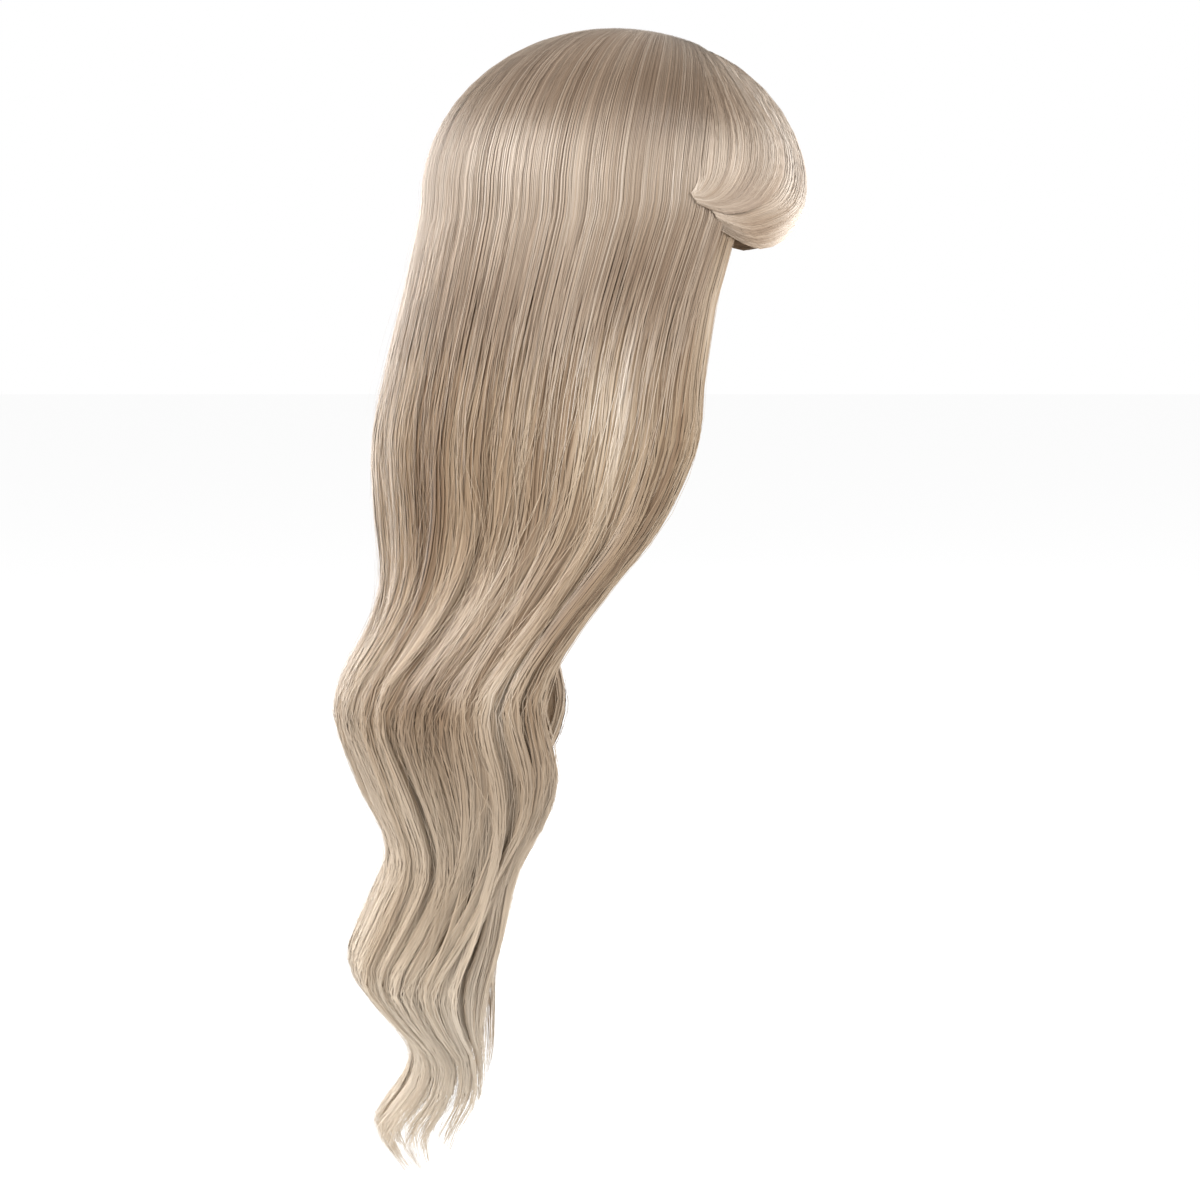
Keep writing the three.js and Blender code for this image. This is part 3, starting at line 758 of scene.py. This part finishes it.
def lockPiece(name, low, high, tip, cross, side, byFace):
    hair, core = longHair, longHair["core"]
    lock = {"tipRun": runAt(tip), "middle": (low + high) / 2, "byFace": byFace}
    wispRows = lockWisps(low, high, lock["tipRun"], cross)
    bundles = []
    for rowName, wisp in wispRows.items():
        row = hair["rows"][rowName]
        around = np.linspace(0, 2 * math.pi, row["hullPoints"], endpoint=False)[None, :]
        for n in range(row["wisps"]):
            own = {key: values[n] for key, values in wisp.items()}
            own["end"] -= hair["endShort"]
            runs = np.linspace(1.0, own["end"] - 0.03, row["hullRows"])
            run = runs[:, None]
            angle, depth = onWisp(lock, own, run, around, 1.0, 0.1)[:2]
            sections = inHair(angle, run, depth, side)
            guide = outward(sections, angle, run, depth, side)
            bundles.append(hull(sections, own["tone"], alongAt(runs), 8, guide, paintedLightAt(angle, run)))
    for layer in hair["layers"]:
        count = layer["strands"]
        wisp, inside = wispRows[layer["row"]], layer["row"] == "inner"
        mine = np.arange(count) % len(wisp["angle"])
        own = {key: values[mine][:, None] for key, values in wisp.items()}
        begin = layer["from"] + dice.uniform(0, 0.08 if byFace else 0.5, (count, 1))
        end = own["end"] + 0.05 - layer["short"] * dice.random((count, 1)) ** 2
        run = begin + (end - begin) * np.linspace(0, 1, layer["points"])[None, :]
        loose = layer["loose"] * wandering(run, count, 1.5, 4) * ease(run, 1.5, 3)
        # four in five lie on the outside of their wisp, by the face every second one
        facings = (1, -1) if byFace else (1, 1, 1, 1, -1)
        facing = -1 if inside else dice.choice(facings, (count, 1))
        around = np.arccos(dice.uniform(-1, 1, (count, 1))) * facing + loose
        off = 1 + (dice.uniform(*layer["off"], (count, 1)) - 1) * ease(run, 1.2, 3.5)
        angle, depth, lean = onWisp(lock, own, run, around, off, 0.8)
        depth = depth - 0.025 * facing
        t = (run - begin) / (end - begin)
        tapered = (0.5 + 0.5 * ease(t, 0, 0.06)) * (1 - 0.8 * ease(t, 0.75, 1))
        width = dice.uniform(*layer["width"], (count, 1)) * tapered
        tone = np.clip(0.45 * own["tone"][:, 0] + 0.55 * dice.random(count) + layer["pale"], 0, 1)
        tilt = -0.6 * side * lean
        bundles.append(strands(angle, run, depth, side, width, tone, alongAt(run), tilt=tilt))
    # core between the two rows, a little darker than the wisps as painted shade inside the lock
    coreEnd = lock["tipRun"] - core["short"]
    runs = np.linspace(core["from"], coreEnd, core["rows"])
    across = np.linspace(-1, 1, core["columns"])
    sections = []
    for run in runs:
        size = 0.05 + 0.95 * math.sin(min((coreEnd - run) / core["rounded"], 1) * math.pi / 2)
        angles = lock["middle"] + (high - low) / 2 * size * across
        outer = float(outerDepth(np.array(run), byFace))
        centre = 0.5 + 0.5 * outer
        thick = core["thick"] * (1 - outer) * (0.3 + 0.7 * np.sqrt(1 - across**2)) * size
        sections.append(section(angles, run, centre - thick, centre + thick, side))
    bundles.append(hull(sections, 0.3, alongAt(runs)))
    pieceFrom(name, bundles, hairLooks["long"], [name])


for kind, number, low, high, tip, cross in longHair["locks"]:
    for sideName, side in sides.items():
        name = f"{kind}_{sideName}" + (f"_{number}" if number else "")
        lockPiece(name, low, high, tip, cross, side, kind == "face_lock")
print("long locks laid")

# fringe: the edges of its rows by angle and run, and their depths, from the parting to the ends
fringeHair = {
    "columns": ("rear", "front", "rearRun", "frontRun", "outer", "inner", "tuck"),
    "sweep": [
        (113, 141, 0, 0, 0, 0.9, 0),
        (113, 140.5, 0.25, 0.25, 0, 0.8, 0),
        (113, 142.5, 0.5, 0.5, 0, 0.6, 0),
        (113, 148, 0.7, 0.7, 0, 0.5, 0),
        (113, 146, 0.82, 0.86, -0.02, 0.48, 0),
        (113.5, 139.5, 0.89, 0.97, -0.04, 0.47, 0),
        (113, 131.5, 0.93, 1.05, -0.06, 0.46, 0),
        (112, 122, 0.96, 1.08, -0.06, 0.34, 0),
        (110.5, 113, 0.98, 1.03, -0.05, 0.1, 0),
    ],
    "roll": [
        (138, 179.7, 0, 0, 0, 0.9, 0),
        (137.5, 179.7, 0.25, 0.25, 0, 0.85, 0.1),
        (139, 179.7, 0.5, 0.5, 0, 0.8, 0.25),
        (143, 179.5, 0.7, 0.75, 0, 0.8, 0.35),
        (141, 179, 0.82, 0.92, 0, 0.8, 0.45),
        (136, 175, 0.9, 1.05, 0, 0.72, 0.5),
        (130, 166, 0.96, 1.15, 0, 0.62, 0.55),
        (124, 155, 0.98, 1.23, 0, 0.5, 0.55),
        (119.5, 144, 1.0, 1.27, -0.08, 0.38, 0.4),
        (116.5, 134, 1.0, 1.24, -0.12, 0.26, 0.3),
        (115, 122.5, 1.01, 1.16, -0.06, 0.12, 0.2),
    ],
    "points": 17,
    "edge": 0.45,
    "level": 0.06,  # starts level with the crown hair
    "sink": {"sweep": 0.1, "roll": 0.0},  # the rear edge goes under the crown hair
    "gather": {"sweep": 0.08, "roll": 0.0},
    "proud": {"sweep": 0.16, "roll": 0.0},  # the front edge stands out
    "curl": {"sweep": 0.0, "roll": 0.3},
    # the sweep's front edge darker, painted shadow in the crease by the roll; the roll's front edge a little
    # paler, painted light
    "paintedEdgeShade": {"sweep": -0.9, "roll": 0.1},
    "lastRows": (6, 8),  # where sinking and standing out end
    "tipShade": 0.3,
    "tipFrom": 0.6,
    "loose": 0.012,
    "layers": [
        {"strands": 160, "width": (0.7, 1.5), "deep": (0.0, 0.06), "tilt": 0.05},
        {"strands": 36, "width": (1.2, 2.4), "deep": (0.9, 1.0), "tilt": 0.1},
        {"strands": 110, "width": (0.3, 0.6), "deep": (-0.05, 0.03), "tilt": 0.0},
    ],
    "body": {"shares": (0.03, 0.97), "columns": 22, "rows": 40, "short": 0.3, "outer": 0.1, "inner": 0.9},
}


def fringeFlow(kind, share, row, deep):
    # share from 0 at the rear edge to 1 at the front edge, deep from 0 outside to 1 inside
    hair = fringeHair
    table = np.array(hair[kind], float)
    at = np.arange(len(table))
    col = {name: curveThrough(at, table[:, k], row) for k, name in enumerate(hair["columns"])}
    swell = hair["edge"] + (1 - hair["edge"]) * np.sin(math.pi * np.clip(share, 0, 1))
    # rounded off at the front
    within = deep * swell + (1 - swell) * 0.5 * share
    depth = col["outer"] + (col["inner"] - col["outer"]) * within + col["tuck"] * (1 - share) ** 2
    depth = depth + hair["curl"][kind] * ease(share, 0.5, 1.1) * ease(row, 3, 6)
    depth = depth + hair["level"] * (1 - ease(row, 0.5, 2.2))
    sunk = (1 - ease(share, 0, 0.3)) * ease(row, 0.5, 2.5) * (1 - ease(row, *hair["lastRows"]))
    depth = depth + hair["sink"][kind] * sunk
    angle = col["rear"] + (col["front"] - col["rear"]) * share
    run = np.maximum(col["rearRun"] + (col["frontRun"] - col["rearRun"]) * share, 0)
    return angle, run, depth


def standingOut(kind, share, row):
    hair = fringeHair
    return hair["proud"][kind] * share**2 * ease(row, 1, 3) * (1 - ease(row, *hair["lastRows"]))


def fringePiece(name, kind, side):
    hair, body = fringeHair, fringeHair["body"]
    t = np.linspace(0, 1, hair["points"])[None, :]
    last = len(hair[kind]) - 1
    tapered = (0.5 + 0.5 * ease(t, 0, 0.35)) * (1 - 0.75 * ease(t, 0.8, 1))
    bundles = []
    for layer in hair["layers"]:
        count = layer["strands"]
        share = dice.permutation(spaced(count, 0, 1))[:, None]
        row = t * (last - 0.9 * dice.random((count, 1)) ** 2.5)
        deep = dice.uniform(*layer["deep"], count)[:, None]
        gather = (1 - share) * hair["gather"][kind] * (1 - ease(row, 1, 5.5))
        loose = dice.normal(0, hair["loose"], (count, 1)) * wandering(t, count, 2, 6)
        angle, run, depth = fringeFlow(kind, np.clip(share + gather + loose, 0, 1), row, deep)
        depth = depth + partingDip(run, crownHair["dip"]) - standingOut(kind, share, row)
        width = dice.uniform(*layer["width"], count)[:, None] * tapered
        tilt = dice.normal(0, layer["tilt"], (count, 1)) if layer["tilt"] else 0.0
        # painted shadow along the sweep's front edge, painted light along the roll's
        edgeShadeTone = hair["paintedEdgeShade"][kind] * ease(share[:, 0], 0.9, 0.98)
        tone = np.clip(tones(share[:, 0] * 36) + edgeShadeTone, 0, 1)
        atTip = hair["tipShade"] * ease(row, hair["tipFrom"] * last, last) * ease(share, 0, 0.3)
        bundles.append(strands(angle, run, depth, side, width, tone, alongAt(run) + atTip, tilt=tilt))
    # body under the strands
    shares = np.linspace(*body["shares"], body["columns"])
    rows = np.linspace(0, last - body["short"], body["rows"])
    sections = []
    for row in rows:
        lift = standingOut(kind, shares, row)
        angle, run, outside = fringeFlow(kind, shares, row, body["outer"])
        inside = fringeFlow(kind, shares, row, body["inner"])[2]
        outside = outside - lift + partingDip(run, crownHair["dip"])
        sections.append(section(angle, run, outside, inside - 0.5 * lift, side))
    along = 0.14 * rows / last + hair["tipShade"] * ease(rows, hair["tipFrom"] * last, last)
    bundles.append(hull(sections, 0.5, along))
    pieceFrom(name, bundles, hairLooks[kind], [name])


for kind in ("sweep", "roll"):
    for sideName, side in sides.items():
        fringePiece(f"fringe_{kind}_{sideName}", kind, side)
print("fringe laid")

# stretch cap that the hair is sewn to; a wave texture of scale 1 repeats every 0.314 m
capNet = {"colour": (0.4, 0.31, 0.23), "dark": 0.55, "cells": 420, "cellDepth": 3.0, "rows": 0.011}
waveLength = 0.314


def capMaterial():
    material = bpy.data.materials.new("capNet")
    material.use_nodes = True
    tree = material.node_tree
    shader = tree.nodes["Principled BSDF"]
    shader.inputs["Sheen Weight"].default_value = 0.2
    place = tree.nodes.new("ShaderNodeTexCoord")
    net = tree.nodes.new("ShaderNodeTexVoronoi")
    net.feature = "DISTANCE_TO_EDGE"
    net.inputs["Scale"].default_value = capNet["cells"]
    link(tree, place.outputs["Object"], net.inputs["Vector"])
    rows = tree.nodes.new("ShaderNodeTexWave")
    rows.bands_direction = "Z"
    rows.inputs["Scale"].default_value = waveLength / capNet["rows"]
    rows.inputs["Distortion"].default_value = 0.3
    link(tree, place.outputs["Object"], rows.inputs["Vector"])
    knit = mathNode(tree, "MULTIPLY_ADD", net.outputs["Distance"], capNet["cellDepth"], rows.outputs["Fac"])
    shade = tree.nodes.new("ShaderNodeValToRGB")
    shade.color_ramp.elements[0].color = (*(capNet["dark"] * c for c in capNet["colour"]), 1)
    shade.color_ramp.elements[1].color = (*capNet["colour"], 1)
    link(tree, knit, shade.inputs["Fac"])
    link(tree, shade.outputs["Color"], shader.inputs["Base Color"])
    rough = rangeNode(tree, net.outputs["Distance"], toEnds=(0.75, 0.95))
    link(tree, rough, shader.inputs["Roughness"])
    link(tree, bumpNode(tree, knit, 0.5, 0.0006), shader.inputs["Normal"])
    return material


capPanels = ["cap_top", "cap_front", "cap_back", "cap_side_right", "cap_side_left"]
bpy.ops.object.select_all(action="DESELECT")
for nodeName in capPanels:
    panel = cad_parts[nodeName].copy()
    panel.data = panel.data.copy()
    panel.parent = None
    scene.collection.objects.link(panel)
    panel.select_set(True)
    bpy.context.view_layer.objects.active = panel
bpy.ops.object.join()
cap = bpy.context.object
cap.name = "stretch_cap"
bpy.ops.object.mode_set(mode="EDIT")
bpy.ops.mesh.select_all(action="SELECT")
bpy.ops.mesh.remove_doubles(threshold=0.00002)
bpy.ops.mesh.tris_convert_to_quads()
bpy.ops.object.mode_set(mode="OBJECT")
smooth = cap.modifiers.new("round", "SUBSURF")
smooth.levels = smooth.render_levels = 1
bpy.ops.object.modifier_apply(modifier="round")
bpy.ops.object.shade_smooth()
cap.data.materials.clear()
cap.data.materials.append(capMaterial())
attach(cap, "root")
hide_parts(*capPanels)
print("cap made")

# floor, light and camera
studio = {"floor": -0.706, "paper": (0.2, 0.2, 0.2), "glow": 0.86, "backdrop": 1.0, "fill": 0.4}
bpy.ops.object.select_all(action="DESELECT")
bpy.ops.mesh.primitive_plane_add(size=14, location=(2, 0, studio["floor"]))
floor = bpy.context.object
floor.name = "floor"
paper = bpy.data.materials.new("paper")
paper.use_nodes = True
paperShader = paper.node_tree.nodes["Principled BSDF"]
paperShader.inputs["Base Color"].default_value = (*studio["paper"], 1)
paperShader.inputs["Roughness"].default_value = 0.9
paperShader.inputs["Emission Color"].default_value = (1, 1, 1, 1)
paperShader.inputs["Emission Strength"].default_value = studio["glow"]
floor.data.materials.append(paper)

world = bpy.data.worlds.new("studio")
world.use_nodes = True
scene.world = world
sky = world.node_tree
seen = sky.nodes.new("ShaderNodeLightPath")  # white behind the hair, softer as light
fade = rangeNode(sky, seen.outputs["Is Camera Ray"], toEnds=(studio["fill"], studio["backdrop"]))
link(sky, fade, sky.nodes["Background"].inputs["Strength"])
sky.nodes["Background"].inputs["Color"].default_value = (1, 1, 1, 1)

softBoxes = [
    {"name": "boxLeft", "place": (-1.1, 1.8, 0.95), "aim": (0, 0.05, -0.15), "size": 1.4, "power": 68},
    {"name": "boxRight", "place": (-1.15, -1.75, 0.95), "aim": (0, 0, -0.15), "size": 1.4, "power": 52},
    {"name": "rimLeft", "place": (1.2, 1.5, 0.1), "aim": (0, 0.08, -0.35), "size": 1.4, "power": 42},
    {"name": "rimRight", "place": (1.2, -1.5, 0.2), "aim": (0, -0.03, -0.3), "size": 1.4, "power": 26},
]
for box in softBoxes:
    bpy.ops.object.light_add(type="AREA", location=box["place"])
    lamp = bpy.context.object
    lamp.name = box["name"]
    lamp.data.shape = "SQUARE"
    lamp.data.size = box["size"]
    lamp.data.energy = box["power"]
    lamp.rotation_euler = (Vector(box["aim"]) - Vector(box["place"])).to_track_quat("-Z", "Y").to_euler()

view = {"place": (-1.36, 0.0095, -0.1277), "pitch": 8.42, "heading": -90, "lens": 67.5, "sensor": 36}
viewTurn = (math.radians(90 - view["pitch"]), 0, math.radians(view["heading"]))
bpy.ops.object.camera_add(location=view["place"], rotation=viewTurn)
camera = bpy.context.object
camera.data.lens = view["lens"]
camera.data.sensor_width = view["sensor"]
camera.data.clip_start, camera.data.clip_end = 0.05, 50
scene.camera = camera
print("stage set,", total["faces"], "triangles of hair")
